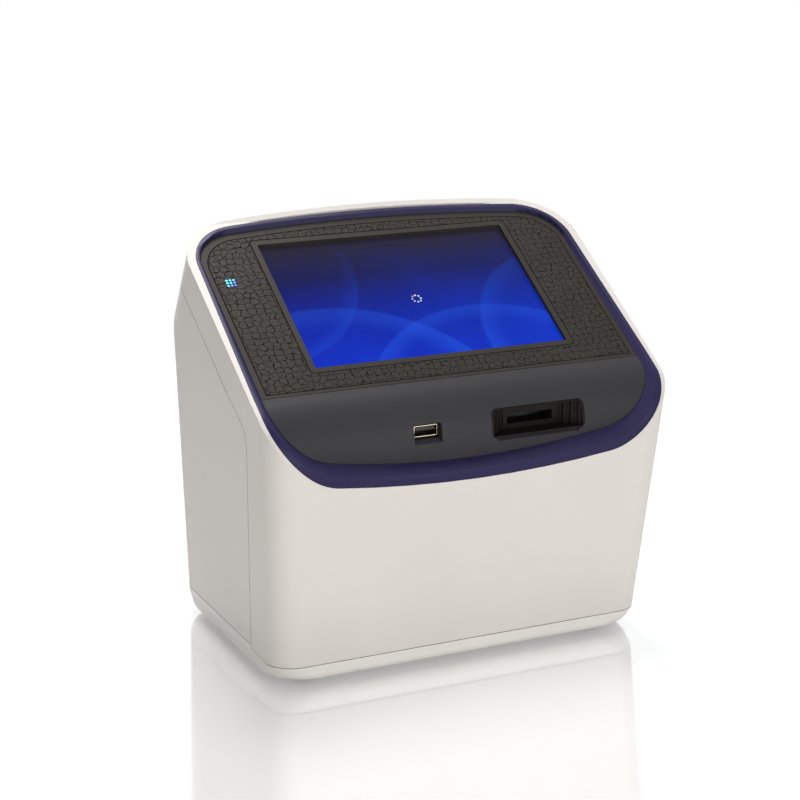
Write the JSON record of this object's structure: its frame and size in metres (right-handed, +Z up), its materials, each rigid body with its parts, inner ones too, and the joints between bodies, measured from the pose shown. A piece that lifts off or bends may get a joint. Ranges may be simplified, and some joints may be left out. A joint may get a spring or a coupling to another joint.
{
  "type": "automated cell counter",
  "caption": "Bench instrument with a leaning touch screen, a slide port and a USB socket under it, a wrap-round trim ring and a microscope inside.",
  "frame": {"origin": "on the table, under the middle of the instrument's overall box", "axes": "+X to the right seen from the front, +Y to the back, +Z up from the table"},
  "size_m": [0.229, 0.155, 0.2237],
  "materials": {
    "casing": "off-white moulded plastic with a fine satin texture",
    "base": "off-white moulded plastic, satin",
    "ring": "navy violet moulded plastic, satin",
    "bezel": "warm dark grey plastic, semi-gloss with a fine printed texture",
    "panel": "charcoal plastic, semi-gloss",
    "screen_glass": "touch glass over a lit display",
    "lcd": "pressed metal frame of the display module",
    "indicator": "clear blue light guide",
    "port_black": "gloss black plastic",
    "socket_metal": "bright plated steel",
    "socket_black": "black plastic",
    "frame_metal": "dark anodised aluminium",
    "bright_metal": "ground steel",
    "optic_black": "matt black, non-reflecting",
    "lens_glass": "coated optical glass",
    "circuit_board": "green solder resist",
    "sensor": "ceramic package with a glass window",
    "heat_sink": "extruded aluminium",
    "rubber": "black rubber"
  },
  "bodies": {
    "housing": {"base_tray": "base", "front_shell": "casing", "rear_shell": "casing", "trim_ring": "ring", "display_bezel": "bezel", "lower_panel": "panel", "touch_glass": "screen_glass", "lcd_panel": "lcd", "status_light": "indicator", "usb_front_shell": "socket_metal", "usb_front_tongue": "socket_black", "slide_port": "port_black", "optics_frame": "frame_metal", "carriage_rails": "bright_metal", "lamp_bridge": "frame_metal", "lamp_housing": "optic_black", "lamp_board": "circuit_board", "condenser_lens": "lens_glass", "focus_motor": "optic_black", "guide_rods": "bright_metal", "camera_tube": "optic_black", "camera_board": "circuit_board", "camera_sensor": "sensor", "main_board": "circuit_board", "heat_sink": "heat_sink", "rear_plate": "socket_black", "usb_rear_shell": "socket_metal", "usb_rear_tongue": "socket_black", "dc_inlet": "socket_black", "rocker_frame": "socket_black", "foot_front_left": "rubber", "foot_front_right": "rubber", "foot_rear_left": "rubber", "foot_rear_right": "rubber"},
    "carriage": {"slide_carriage": "optic_black"},
    "focus_stage": {"focus_carriage": "bright_metal", "objective_barrel": "optic_black", "objective_lens": "lens_glass"},
    "lead_screw": {"focus_screw": "bright_metal"},
    "rocker": {"power_rocker": "port_black"}
  },
  "joints": [
    {"name": "slide_eject", "type": "slide", "parent": "housing", "child": "carriage", "axis": [0, 1, 0], "range_m": [0, 0.004], "stiffness_N_per_m": 150},
    {"name": "focus", "type": "slide", "parent": "housing", "child": "focus_stage", "axis": [0, 0, 1], "range_m": [-0.002, 0.002]},
    {"name": "screw_turn", "type": "hinge", "parent": "housing", "child": "lead_screw", "pos_m": [0.038, 0.00325, 0.08], "axis": [0, 0, 1], "range_deg": [-365, 365]},
    {"name": "power_switch", "type": "hinge", "parent": "housing", "child": "rocker", "pos_m": [-0.02, 0.06407, 0.033], "axis": [1, 0, 0], "range_deg": [-18, 0]}
  ],
  "couplings": [
    {"joint": "screw_turn", "follows": "focus", "rad_per_m": 3141.6}
  ]
}
